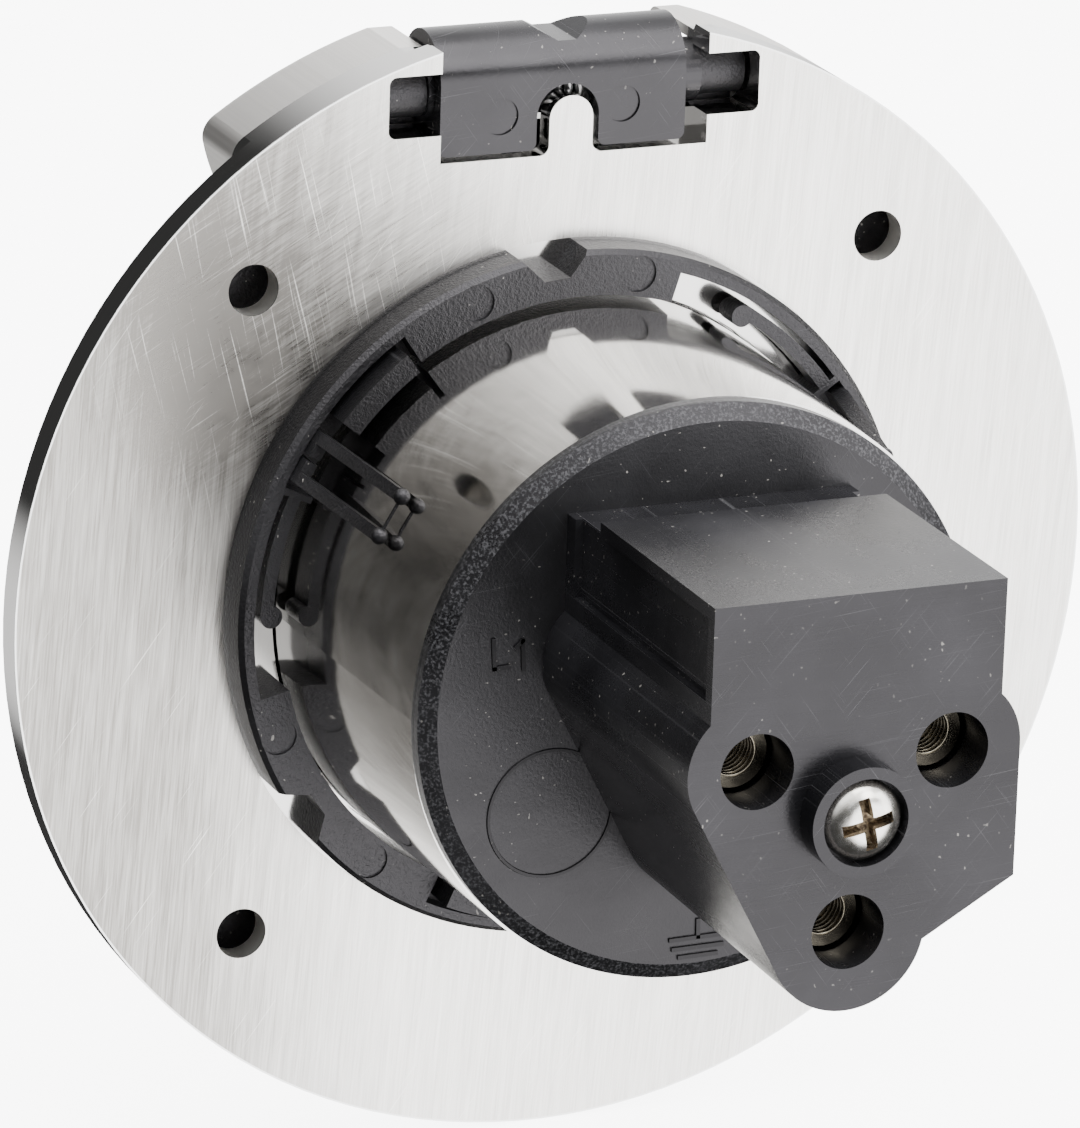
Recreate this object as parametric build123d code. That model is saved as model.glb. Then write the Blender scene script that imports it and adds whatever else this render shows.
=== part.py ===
from build123d import *
from math import cos, degrees, hypot, radians, sin, sqrt
import os

# Recessed three-pin shore power inlet for a boat's hull, as a bench assembly.
# Millimetres, +Z up, +Y into the boat. The origin is the centre of the flange's rear
# face, which lies against the hull. Sketches are drawn as seen from behind.

# Flange plate
flange_radius = 58.5
flange_thickness = 5.5
flange_rim_height = 3.6
flange_bevel_width = 2.6
screw_circle_inset = 10.5
screw_hole_diameter = 5.3
countersink_diameter = 10.2
countersink_depth = 2.6
ring_seat_depth = 0.2
ring_seat_gap = 0.3

# Inlet tube, its lip in the flange's front and the gasket under the lip
tube_inset = 27.5
tube_taper = 1.05
tube_length = 34.2
tube_wall = 1.3
tube_lip_width = 4.0
tube_lip_thickness = 1.2
lip_gasket_thickness = 0.8
tube_clearance = 0.2

# Locking ring around the tube, against the flange's rear face. Reaches are measured
# from its inner radius, and angles are in degrees after each notch.
ring_gap_to_tube = 0.56
ring_width = 4.7
ring_height = 4.0
ring_count = 3
ring_edge_round = 0.5
notch_angle = 95.2
notch_floor_reach = 2.09
notch_floor_width = 2.8
notch_mouth_width = 7.4
window_start = 22.6
window_end = 35.0
window_reach = 3.14
arm_end = 58.6
arm_width = 1.35
arm_height = 3.2
arm_reach = 1.84
arm_head_radius = 1.15
arm_head_reach = 1.34
recess_start = 59.8
recess_end = 91.5
recess_floor = 1.2
recess_reach = 3.34
pad_start = 74.0
pad_end = 89.6
pad_inner_reach = 0.34
pad_outer_reach = 2.64
pad_top = 6.3
clip_middle = 66.0
clip_width = 5.7
clip_bar = 1.25
clip_thickness = 1.3
clip_foot_reach = 3.14
clip_foot_depth = 5.2
clip_foot_slit = 0.5
clip_tip_depth = 20.0
clip_tip_radius = 0.85
clip_tip_gap = 0.06
clip_line_width = 0.25
ejector_mark_radius = 1.9
ejector_mark_depth = 0.25
ejector_mark_angle = 15.0

# Hinge at the top of the flange. Rises and drops are measured from the hinge pin.
hinge_inset = 6.9
hinge_depth = 5.6
hinge_pin_diameter = 3.0
hinge_pin_length = 39.0
pin_running_gap = 0.05
block_width = 26.5
block_opening_width = 28.8
block_opening_drop = 6.3
block_shift = -0.9
barrel_radius = 5.1
barrel_advance = 0.4
barrel_rise = 0.9
block_plate_drop = 5.95
block_plate_setback = 0.9
block_plate_front = 3.4
saddle_depth = 1.3
saddle_floor_width = 2.0
saddle_mouth_width = 6.6
slot_floor_drop = 3.4
pocket_rise = 2.9
pocket_reach = 20.0
pocket_corner_radius = 0.8
tongue_width = 4.7
tongue_drop = 0.3
tongue_shift = -0.4
tongue_foot_round = 1.0
tongue_gap = 1.0
notch_round = 0.8
block_mark_offsets = ((-7.66, -2.2), (5.5, -1.8))
tongue_thickness = 2.4

# Hood on the flange's front, in two halves beside the hinge block
hood_half_width = 34.5
hood_front = 15.5
hood_drop = 9.6
hood_top_inset = 2.5
hood_edge_round = 2.0
hood_side_round = 3.0

# Lid with its liner, seal and screws
lid_inset = 5.5
lid_gap_to_flange = 0.5
lid_gap_to_hood = 0.4
lid_side_height = 5.0
lid_dome_rise = 5.5
lid_edge_round = 2.5
lid_wall = 1.5
liner_gap = 0.2
liner_thickness = 2.5
liner_setback = 0.3
knuckle_radius = 2.7
knuckle_width = 4.9
knuckle_side_gap = 0.4
arm_strap_thickness = 2.3
strap_roof_rise = 3.3
strap_foot_length = 6.0
seal_place_share = 13 / 23
seal_width = 3.8
seal_groove_depth = 1.2
seal_gap_to_flange = 0.1
lid_screw_reach = 2.0
lid_screw_diameter = 3.0
lid_screw_head_diameter = 5.6
lid_screw_head_height = 1.2
lid_screw_slot_width = 0.8
lid_screw_slot_depth = 0.6
lid_screw_length = 6.5
lid_boss_radius = 3.2

# Closing spring around the hinge pin
spring_wire_diameter = 1.0
spring_turns = 7
spring_pitch = 1.2
spring_grip_gap = 0.1
spring_bay_width = 12.0
spring_bay_radius = 3.3
spring_bay_gap = 0.05
spring_leg_length = 2.8

# Contact carrier and its shroud
shroud_inner_radius = 19.3
shroud_wall = 2.4
shroud_front = 4.5
shroud_seat_depth = 1.0
carrier_setback = 12.2
carrier_thickness = 4.0
carrier_gap = 0.25
keyway_width = 5.0
keyway_depth = 1.5
post_radius = 4.6
post_setback = 9.0

# Contact pins with their wire terminals
terminal_offset = 10.05
terminal_rise = 5.15
earth_drop = 11.95
contact_diameter = 5.0
earth_contact_diameter = 6.0
contact_tip = 1.5
power_contact_setback = 2.0
contact_nose_radius_share = 0.55
contact_nose_length_share = 0.7
contact_collar_radius = 3.9
contact_collar_length = 3.0
terminal_radius = 3.4
terminal_setback = 0.5
terminal_wire_diameter = 4.6
terminal_wire_depth = 14.0
terminal_drill_point = 1.2
clamp_screw_diameter = 3.0
clamp_screw_length = 2.7
clamp_screw_place = 6.0
clamp_screw_reach = 1.2
clamp_slot_width = 0.6
clamp_slot_depth = 0.7
hole_gap = 0.05

# Rear cap and its sealing ring
cap_inset = 0.29
cap_rim_height = 1.8
cap_bevel_width = 1.7
cap_bevel_height = 0.95
cap_skirt_wall = 2.6
cap_skirt_gap = 0.3
cap_ring_groove_start = 3.0
cap_ring_groove_width = 2.4
cap_ring_groove_depth = 1.3
cap_ring_bulge = 0.15
cap_ring_side_slope = 0.5

# Terminal cover
cover_length = 35.0
cover_half_width = 15.0
cover_top = 21.7
lobe_radius = 7.1
earth_lobe_radius = 8.0
corner_side = 17.15
corner_bottom = -8.2
corner_inset = (7.85, -13.6)
cover_step_depth = 8.0
cover_step_height = 1.6
panel_depth = 0.8
panel_margin = 1.4
panel_bottom = 12.2
snap_tab_width = 3.0
snap_tab_place = 9.0
snap_tab_length = 1.5
snap_tab_setback = 0.5
wire_hole_diameter = 7.5
wire_hole_length = 5.0
post_end_gap = 0.2
terminal_cavity_gap = 0.9
screw_boss_radius = 5.5
screw_boss_height = 3.0
screw_well_radius = 4.35
screw_well_depth = 2.5

# Cover screw
cover_screw_diameter = 4.0
cover_screw_head_radius = 4.0
cover_screw_head_height = 2.9
cover_screw_head_side = 1.5
cover_screw_shoulder = (0.8, 0.42)
cover_screw_length = 22.0
cross_width = 1.15
cross_reach = 5.2
cross_depth = 1.5
cross_turn = 12.0

# Sizes worked out from the ones above
screw_circle_radius = flange_radius - screw_circle_inset
tube_front_radius = flange_radius - tube_inset
tube_rear_radius = tube_front_radius - tube_taper
ring_inner_radius = tube_front_radius + ring_gap_to_tube
ring_radius = ring_inner_radius + ring_width
notch_floor_radius = ring_inner_radius + notch_floor_reach
window_outer_radius = ring_inner_radius + window_reach
arm_radius = ring_inner_radius + arm_reach
arm_head_radius_place = ring_inner_radius + arm_head_reach
recess_radius = ring_inner_radius + recess_reach
pad_inner_radius = ring_inner_radius + pad_inner_reach
pad_outer_radius = ring_inner_radius + pad_outer_reach
clip_foot_radius = ring_inner_radius + clip_foot_reach
hinge_height = flange_radius - hinge_inset
block_opening_bottom = hinge_height - block_opening_drop
barrel_centre = (-hinge_depth - barrel_advance, hinge_height + barrel_rise)
block_plate_bottom = hinge_height - block_plate_drop
saddle_floor = barrel_centre[1] + barrel_radius - saddle_depth
slot_floor_height = hinge_height - slot_floor_drop
pocket_top = hinge_height + pocket_rise
tongue_top = hinge_height - tongue_drop
block_mark_places = [(u, hinge_height + rise) for u, rise in block_mark_offsets]
hood_bottom = hinge_height - hood_drop
hood_top = flange_radius - hood_top_inset
lid_radius = flange_radius - lid_inset
strap_roof = hinge_height + strap_roof_rise
lid_screw_circle = tube_front_radius + lid_screw_reach
carrier_front = tube_length - carrier_setback
cap_radius = tube_rear_radius - cap_inset
cap_face = tube_length + cap_rim_height
cover_end = cap_face + cover_length
lid_rear = -(flange_thickness + lid_gap_to_flange)
hinge_centre = (-hinge_depth, hinge_height)
spring_mean_radius = (hinge_pin_diameter + spring_wire_diameter) / 2 + spring_grip_gap
hood_sweep_radius = hood_front - hinge_depth
lid_top = hinge_height - hood_sweep_radius - lid_gap_to_hood
liner_top = lid_top - lid_wall - liner_gap
lip_radius = tube_front_radius + tube_lip_width
seal_inner_radius = lip_radius + (liner_top - lip_radius) * seal_place_share
seal_outer_radius = seal_inner_radius + seal_width
post_end = cover_end - post_setback
terminal_end = cover_end - wire_hole_length - terminal_setback
terminal_places = {
    "line": (-terminal_offset, terminal_rise),
    "neutral": (terminal_offset, terminal_rise),
    "earth": (0, -earth_drop),
}


def behind(y=0.0):
    """Plane seen from behind at depth y: its X runs to the right, its Y up."""
    return Plane(origin=(0, y, 0), x_dir=(-1, 0, 0), z_dir=(0, 1, 0))


def side_view(x=0.0):
    """Plane across the object at x: its X runs along +Y and its Y up."""
    return Plane(origin=(x, 0, 0), x_dir=(0, 1, 0), z_dir=(1, 0, 0))


def raise_up(sketch, start, end):
    """Solid of a sketch seen from behind, between the depths start and end."""
    return extrude(behind(start) * sketch, end - start)


def across(sketch, half_width):
    """Solid of a side-view sketch, as far to both sides of the middle."""
    return extrude(side_view(-half_width) * sketch, 2 * half_width)


def turned(points):
    """Ring of the given radius and depth points, turned about the inlet's axis."""
    outline = make_face(Polyline(*points, close=True))
    return revolve(outline, Axis.Y)


def tube_radius_at(y):
    """Outer radius of the tapered inlet tube at depth y."""
    share = max(0.0, y) / tube_length
    return tube_front_radius + (tube_rear_radius - tube_front_radius) * share


def polar(radius, angle):
    """Point in a sketch from a radius and an angle in degrees."""
    return (radius * cos(radians(angle)), radius * sin(radians(angle)))


def ring_sector(inner, outer, first, last):
    """Sketch of a piece of a ring between two angles in degrees."""
    middle = (first + last) / 2
    edges = [
        ThreePointArc(polar(outer, first), polar(outer, middle), polar(outer, last)),
        Line(polar(outer, last), polar(inner, last)),
        ThreePointArc(polar(inner, last), polar(inner, middle), polar(inner, first)),
        Line(polar(inner, first), polar(outer, first)),
    ]
    return make_face(edges)


def rectangle(left, right, bottom, top):
    """Sketch of a rectangle between four limits."""
    centre = ((left + right) / 2, (bottom + top) / 2)
    return Pos(*centre) * Rectangle(right - left, top - bottom)


def circle_at(place, radius):
    """Sketch of a circle about a point."""
    return Pos(*place) * Circle(radius)


def outer_tangent(first, first_radius, second, second_radius):
    """Ends of the tangent on the left of the way from one circle to another."""
    dx, dy = second[0] - first[0], second[1] - first[1]
    span = hypot(dx, dy)
    turn = (first_radius - second_radius) / span
    side = sqrt(1 - turn * turn)
    nx = turn * dx / span + side * dy / span
    ny = turn * dy / span - side * dx / span
    start = (first[0] + first_radius * nx, first[1] + first_radius * ny)
    end = (second[0] + second_radius * nx, second[1] + second_radius * ny)
    return start, end


# Flange plate with its hood

def flange_disc():
    """Round plate with a bevelled front edge, the tube's bore and its counterbore."""
    bore = tube_front_radius + tube_clearance
    seat = lip_radius + tube_clearance
    seat_floor = tube_lip_thickness + lip_gasket_thickness - flange_thickness
    ring_seat = ring_radius + ring_seat_gap
    return turned([
        (bore, -ring_seat_depth),
        (ring_seat, -ring_seat_depth),
        (ring_seat, 0),
        (flange_radius, 0),
        (flange_radius, -flange_rim_height),
        (flange_radius - flange_bevel_width, -flange_thickness),
        (seat, -flange_thickness),
        (seat, seat_floor),
        (bore, seat_floor),
    ])


def hood():
    """Hinge hood: the flange's round top carried forward, rounded about the hinge."""
    outline = Circle(flange_radius) & rectangle(
        -hood_half_width, hood_half_width, hood_bottom, hood_top
    )
    corners = outline.vertices().group_by(Axis.X)
    upper = [side.sort_by(Axis.Y)[-1] for side in (corners[0], corners[-1])]
    outline = fillet(upper, hood_side_round)
    solid = raise_up(outline, -hood_front, -flange_rim_height)
    front_edges = solid.faces().sort_by(Axis.Y)[0].edges().sort_by(Axis.Z)[1:]
    solid = fillet(front_edges, hood_edge_round)
    sweep = across(
        rectangle(-hood_front - 1, -hinge_depth, hood_bottom - 1, hinge_height)
        - circle_at(hinge_centre, hood_sweep_radius),
        hood_half_width + 1,
    )
    return solid - sweep


def hinge_cutouts():
    """Opening for the hinge block, side pockets and ways for the lid's straps."""
    half = block_opening_width / 2
    top = flange_radius + 1
    pocket = rectangle(-pocket_reach, pocket_reach, slot_floor_height, pocket_top)
    pocket = fillet(pocket.vertices(), pocket_corner_radius)
    strap_way = rectangle(-pocket_reach, pocket_reach, hood_bottom - 1, strap_roof)
    shallow = rectangle(-half, half, block_opening_bottom, top)
    front_way = rectangle(-half, half, hood_bottom - 1, top)
    cut = raise_up(rectangle(-half, half, slot_floor_height, top), -hood_front - 1, 1)
    cut += raise_up(pocket, -flange_thickness - 1, 1)
    cut += raise_up(strap_way + front_way, -hood_front - 1, -flange_thickness)
    return cut + raise_up(shallow, -block_plate_front, 1)


def tongue_outline(radius, bottom):
    """Outline of the tongue, or of the block's notch over it, with a round top."""
    centre = tongue_top - tongue_width / 2
    outline = circle_at((tongue_shift, centre), radius)
    return outline + rectangle(tongue_shift - radius, tongue_shift + radius, bottom, centre)


def tongue():
    """Round-ended tongue with flared feet that the hinge block's notch drops over."""
    radius = tongue_width / 2
    outline = tongue_outline(radius, block_opening_bottom - 1)
    flare = radius + tongue_foot_round
    left = tongue_shift - flare
    right = tongue_shift + flare
    foot_top = block_opening_bottom + tongue_foot_round
    foot = rectangle(left, right, block_opening_bottom - 1, foot_top)
    foot -= circle_at((left, foot_top), tongue_foot_round)
    foot -= circle_at((right, foot_top), tongue_foot_round)
    return raise_up(outline + foot, -tongue_thickness, 0)


def screw_hole():
    """One countersunk screw hole, wide end at the front."""
    radius = screw_hole_diameter / 2
    wide = countersink_diameter / 2
    return turned([
        (0, 1),
        (radius, 1),
        (radius, countersink_depth - flange_thickness),
        (wide, -flange_thickness),
        (wide, -flange_thickness - 1),
        (0, -flange_thickness - 1),
    ])


def flange_plate():
    """Flange plate and hood as one casting, with all its cut-outs."""
    plate = flange_disc() + hood() - hinge_cutouts() + tongue()
    for quarter in range(4):
        place = polar(screw_circle_radius, 45 + 90 * quarter)
        plate -= Pos(-place[0], 0, place[1]) * screw_hole()
    return plate


# Tube and gasket

def inlet_tube():
    """Tapered thin tube with a lip at its front end."""
    front = -flange_thickness
    lip_back = front + tube_lip_thickness
    return turned([
        (tube_front_radius - tube_wall, front),
        (lip_radius, front),
        (lip_radius, lip_back),
        (tube_front_radius, lip_back),
        (tube_front_radius, 0),
        (tube_rear_radius, tube_length),
        (tube_rear_radius - tube_wall, tube_length),
        (tube_front_radius - tube_wall, 0),
    ])


def lip_gasket():
    """Flat rubber ring under the tube's lip."""
    front = tube_lip_thickness - flange_thickness
    back = front + lip_gasket_thickness
    inner = tube_front_radius + tube_clearance
    outer = lip_radius
    return turned([(inner, front), (outer, front), (outer, back), (inner, back)])


# Locking ring

def ring_notch():
    """Spanner notch with slanted sides, about the angle zero."""
    floor = notch_floor_radius
    mouth = ring_radius + 1
    grow = (mouth - floor) / (ring_radius - floor)
    wide = notch_floor_width + (notch_mouth_width - notch_floor_width) * grow
    outline = Polyline(
        (floor, -notch_floor_width / 2),
        (mouth, -wide / 2),
        (mouth, wide / 2),
        (floor, notch_floor_width / 2),
        close=True,
    )
    return raise_up(make_face(outline), -1, ring_height + 1)


def ring_openings():
    """Window, spring arm's slot, recess and ejector marks after one notch."""
    inside = ring_inner_radius - 1
    slot = ring_sector(inside, window_outer_radius, -arm_end, -window_start)
    cut = raise_up(slot, -1, ring_height + 1)
    recess = ring_sector(inside, recess_radius, -recess_end, -recess_start)
    cut += raise_up(recess, recess_floor, ring_height + 1)
    mark_radius = (ring_inner_radius + ring_radius) / 2
    for side in (-1, 1):
        mark = circle_at(polar(mark_radius, side * ejector_mark_angle), ejector_mark_radius)
        cut += raise_up(mark, ring_height - ejector_mark_depth, ring_height + 1)
    return cut


def ring_spring_arm():
    """Spring arm with a round head that reaches back to the window."""
    inner = arm_radius - arm_width / 2
    outer = arm_radius + arm_width / 2
    head_angle = -window_end - degrees(arm_head_radius / arm_radius)
    strip = ring_sector(inner, outer, -arm_end - 1, head_angle)
    head = circle_at(polar(arm_head_radius_place, head_angle), arm_head_radius)
    return raise_up(strip + head, ring_height - arm_height, ring_height)


def ring_pad():
    """Raised curved pad that stands in the recess."""
    pad = ring_sector(pad_inner_radius, pad_outer_radius, -pad_end, -pad_start)
    return raise_up(pad, recess_floor - 0.5, pad_top)


def clip_foot():
    """Split wall in the recess that carries the clip's two arms, about angle zero."""
    half = clip_width / 2
    wall = rectangle(clip_foot_radius - clip_thickness, clip_foot_radius, -half, half)
    foot = raise_up(wall, recess_floor - 0.5, clip_foot_depth)
    inner = clip_foot_radius - 2 * clip_thickness
    slit = rectangle(inner, clip_foot_radius + 1, -clip_foot_slit / 2, clip_foot_slit / 2)
    return foot - raise_up(slit, recess_floor, clip_foot_depth + 1)


def clip_arm(side):
    """One arm that leans back to the tube and ends in a ball, about angle zero."""
    start = clip_foot_depth - clip_thickness
    outer = clip_foot_radius
    tip = tube_radius_at(clip_tip_depth) + clip_tip_gap + clip_tip_radius
    half = clip_thickness / 2
    profile = make_face(Polyline(
        (-outer, start),
        (-outer, clip_foot_depth),
        (-tip - half, clip_tip_depth),
        (-tip + half, clip_tip_depth),
        (-outer + clip_thickness, start),
        close=True,
    ))
    place = side * (clip_width - clip_bar) / 2
    arm = Pos(0, 0, place - clip_bar / 2) * extrude(profile, clip_bar)
    return arm + Pos(-tip, clip_tip_depth, place) * Sphere(clip_tip_radius)


def ring_clip():
    """U-shaped clip: split foot, two arms and the thin line between their tips."""
    tip = tube_radius_at(clip_tip_depth) + clip_tip_gap + clip_tip_radius
    line = Pos(-tip, clip_tip_depth, 0) * Box(clip_line_width, clip_line_width, clip_width)
    return clip_foot() + clip_arm(-1) + clip_arm(1) + line


def turned_behind(solid, angle):
    """A solid turned about the inlet's axis by an angle seen from behind."""
    return solid.rotate(Axis.Y, angle)


def locking_ring():
    """Twist-on locking ring with notches, windows, spring arms, pads and clips."""
    ring = turned([
        (ring_inner_radius, -ring_seat_depth),
        (ring_radius, -ring_seat_depth),
        (ring_radius, ring_height - ring_edge_round),
        (ring_radius - ring_edge_round, ring_height),
        (ring_inner_radius, ring_height),
    ])
    for step in range(ring_count):
        angle = notch_angle + step * 360 / ring_count
        ring -= turned_behind(ring_notch(), angle)
        ring -= turned_behind(ring_openings(), angle)
        ring += turned_behind(ring_spring_arm(), angle)
        ring += turned_behind(ring_pad(), angle)
        ring += turned_behind(ring_clip(), angle - clip_middle)
    return ring


# Hinge

def block_profile():
    """Side view of the hinge block: round barrel above a flat plate."""
    depth, height = barrel_centre
    barrel = circle_at(barrel_centre, barrel_radius)
    barrel += rectangle(depth - barrel_radius, -block_plate_setback, slot_floor_height, height)
    barrel &= rectangle(depth - barrel_radius, -block_plate_setback, slot_floor_height, flange_radius)
    plate = rectangle(-block_plate_front, -block_plate_setback, block_plate_bottom, height)
    return barrel + plate


def spring_bay():
    """Room for the closing spring, open to the front and below."""
    back_wall = spring_mean_radius + spring_wire_diameter / 2 + spring_bay_gap - hinge_depth
    bay = circle_at(hinge_centre, spring_bay_radius)
    bay += rectangle(-flange_radius, back_wall, 0, hinge_height)
    bay &= rectangle(-flange_radius, back_wall, 0, flange_radius)
    return across(bay, spring_bay_width / 2)


def saddle():
    """Notch with slanted sides through the top of the hinge block."""
    outline = make_face(Polyline(
        (-saddle_floor_width / 2, saddle_floor),
        (saddle_floor_width / 2, saddle_floor),
        (saddle_mouth_width / 2, barrel_centre[1] + barrel_radius),
        (saddle_mouth_width / 2, flange_radius + 1),
        (-saddle_mouth_width / 2, flange_radius + 1),
        (-saddle_mouth_width / 2, barrel_centre[1] + barrel_radius),
        close=True,
    ))
    return raise_up(outline, -hood_front, 1)


def hinge_block():
    """Moulded hinge block with pin bore, saddle notch, tongue notch and spring bay."""
    half = block_width / 2
    block = Pos(-block_shift, 0, 0) * across(block_profile(), half)
    pin_hole = hinge_pin_diameter / 2 + pin_running_gap
    block -= across(circle_at(hinge_centre, pin_hole), block_width)
    block -= saddle() + spring_bay()
    notch = tongue_outline(tongue_width / 2 + tongue_gap, block_plate_bottom - 1)
    block -= raise_up(notch, -block_plate_front - 1, 1)
    upright = block.edges().filter_by(Axis.Y)
    low = upright.filter_by_position(Axis.Z, block_plate_bottom - 0.1, block_plate_bottom + 0.1)
    block = fillet(low, notch_round)
    for place in block_mark_places:
        mark = circle_at(place, ejector_mark_radius)
        block -= raise_up(mark, -block_plate_setback - ejector_mark_depth, 1)
    return block


def hinge_pin():
    """Plain hinge pin across the block and both lid knuckles."""
    return across(circle_at(hinge_centre, hinge_pin_diameter / 2), hinge_pin_length / 2)


def lid_spring():
    """Torsion spring gripped on the hinge pin, its leg against the block's plate."""
    height = spring_turns * spring_pitch
    path = Helix(spring_pitch, height, spring_mean_radius)
    wire = Circle(spring_wire_diameter / 2)
    first = Plane(origin=(spring_mean_radius, 0, 0), z_dir=(0, 1, 0)) * wire
    last = Plane(origin=(spring_mean_radius, 0, height), z_dir=(0, 1, 0)) * wire
    spring = sweep(first, path, is_frenet=True)
    spring += extrude(last, spring_leg_length)
    along_pin = Plane(
        origin=(height / 2, -hinge_depth, hinge_height),
        x_dir=(0, 1, 0),
        z_dir=(-1, 0, 0),
    )
    return along_pin * spring


# Lid

def lid_solid(inset):
    """Domed disc with a flat top edge, made smaller all round by an inset."""
    radius = lid_radius - inset
    rear = lid_rear if inset == 0 else lid_rear + 1
    shoulder = lid_rear - lid_side_height
    top = shoulder - lid_dome_rise + inset
    rise = shoulder - top
    sphere = (radius * radius + rise * rise) / (2 * rise)
    middle = (radius / 2, top + sphere - sqrt(sphere * sphere - radius * radius / 4))
    outline = make_face([
        Line((0, rear), (radius, rear)),
        Line((radius, rear), (radius, shoulder)),
        ThreePointArc((radius, shoulder), middle, (0, top)),
        Line((0, top), (0, rear)),
    ])
    edge = outline.vertices().sort_by(Axis.X)[-2:].sort_by(Axis.Y)[:1]
    dome = revolve(fillet(edge, lid_edge_round - inset / 2), Axis.Y)
    limit = Pos(0, top, lid_top - inset - radius) * Box(4 * radius, 6 * hood_front, 2 * radius)
    return dome & limit


def lid_screw_places():
    """Places of the three screws that hold the liner in the lid."""
    return [polar(lid_screw_circle, angle) for angle in (90, 210, 330)]


def strap_limits():
    """Inner and outer side of one lid strap, from the middle."""
    inner = block_opening_width / 2 + knuckle_side_gap
    return inner, inner + knuckle_width


def lid_shell():
    """Thin domed lid with screw bosses and openings for the two straps."""
    outer = lid_solid(0)
    shell = outer - lid_solid(lid_wall)
    boss_start = lid_rear - liner_setback - liner_thickness
    for place in lid_screw_places():
        boss = raise_up(circle_at(place, lid_boss_radius), -hood_front, boss_start)
        boss -= raise_up(
            circle_at(place, lid_screw_diameter / 2 + hole_gap),
            lid_rear - liner_setback - lid_screw_length - 0.5,
            boss_start + 1,
        )
        shell += boss & outer
    inner, outer_side = strap_limits()
    for side in (-1, 1):
        first, last = sorted((side * (inner - liner_gap), side * (outer_side + liner_gap)))
        gap = rectangle(first, last, lid_top - 2 * lid_wall, lid_top + 1)
        depth = lid_rear - liner_setback - arm_strap_thickness - liner_gap
        shell -= raise_up(gap, depth, lid_rear + 1)
    return shell


def lid_strap(side):
    """Strap from the liner up to its knuckle around the hinge pin."""
    inner, outer = strap_limits()
    first, last = sorted((side * inner, side * outer))
    rear = lid_rear - liner_setback
    knuckle = circle_at(hinge_centre, knuckle_radius)
    strap = rectangle(rear - arm_strap_thickness, rear, lid_top - strap_foot_length, hinge_height)
    hole = circle_at(hinge_centre, hinge_pin_diameter / 2 + hole_gap)
    outline = knuckle + strap - hole
    return extrude(side_view(-last) * outline, last - first)


def seal_sketch():
    """Outline of the lid's seal, cut off flat like the liner's top."""
    ring = Circle(seal_outer_radius) - Circle(seal_inner_radius)
    return ring & rectangle(-lid_radius, lid_radius, -lid_radius, liner_top)


def lid_liner():
    """Moulded liner plate with two hinge straps, a seal groove and screw holes."""
    rear = lid_rear - liner_setback
    radius = lid_radius - lid_wall - liner_gap
    outline = Circle(radius) & rectangle(-radius, radius, -radius, liner_top)
    liner = raise_up(outline, rear - liner_thickness, rear) + lid_strap(-1) + lid_strap(1)
    liner -= raise_up(seal_sketch(), rear - seal_groove_depth, rear + 1)
    for place in lid_screw_places():
        hole = circle_at(place, lid_screw_diameter / 2 + hole_gap)
        liner -= raise_up(hole, rear - liner_thickness - 1, rear + 1)
        well = circle_at(place, lid_screw_head_diameter / 2 + hole_gap)
        liner -= raise_up(well, rear - lid_screw_head_height, rear + 1)
    return liner


def lid_seal():
    """Rubber ring in the liner's groove, cut off flat like the lid's top."""
    rear = lid_rear - liner_setback
    end = -flange_thickness - seal_gap_to_flange
    return raise_up(seal_sketch(), rear - seal_groove_depth, end)


def lid_screw(place):
    """Slotted screw that holds the liner to a boss in the lid."""
    rear = lid_rear - liner_setback
    head = rear - lid_screw_head_height
    half_slot = lid_screw_slot_width / 2
    screw = raise_up(Circle(lid_screw_diameter / 2), rear - lid_screw_length, head)
    screw += raise_up(Circle(lid_screw_head_diameter / 2), head, rear)
    slot = rectangle(-lid_screw_head_diameter, lid_screw_head_diameter, -half_slot, half_slot)
    screw -= raise_up(slot, rear - lid_screw_slot_depth, rear + 1)
    return Pos(-place[0], 0, place[1]) * screw


# Contact carrier, pins and clamp screws

def shroud_sketch():
    """Outline of the plug's shroud: a round sleeve with a keyway at its bottom."""
    sleeve = Circle(shroud_inner_radius + shroud_wall) - Circle(shroud_inner_radius)
    return sleeve - rectangle(
        -keyway_width / 2,
        keyway_width / 2,
        -shroud_inner_radius - keyway_depth,
        -shroud_inner_radius + 1,
    )


def plug_shroud():
    """Sleeve around the contacts, seated in the carrier's groove."""
    return raise_up(shroud_sketch(), -shroud_front, carrier_front + shroud_seat_depth)


def contact_carrier():
    """Round plate inside the tube with a groove for the shroud and a screw post."""
    back = carrier_front + carrier_thickness
    radius = tube_radius_at(back) - tube_wall - carrier_gap
    carrier = raise_up(Circle(radius), carrier_front, back)
    carrier -= raise_up(shroud_sketch(), carrier_front - 1, carrier_front + shroud_seat_depth)
    carrier += raise_up(Circle(post_radius), back, post_end)
    tap = Circle(cover_screw_diameter / 2 + hole_gap)
    carrier -= raise_up(tap, cover_end - cover_screw_length - 1, post_end + 1)
    for name, place in terminal_places.items():
        hole = circle_at(place, contact_radius(name) + hole_gap)
        carrier -= raise_up(hole, carrier_front - 1, back + 1)
    return carrier


def contact_radius(name):
    """Radius of a contact pin, larger on the earth pin."""
    diameter = earth_contact_diameter if name == "earth" else contact_diameter
    return diameter / 2


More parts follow.
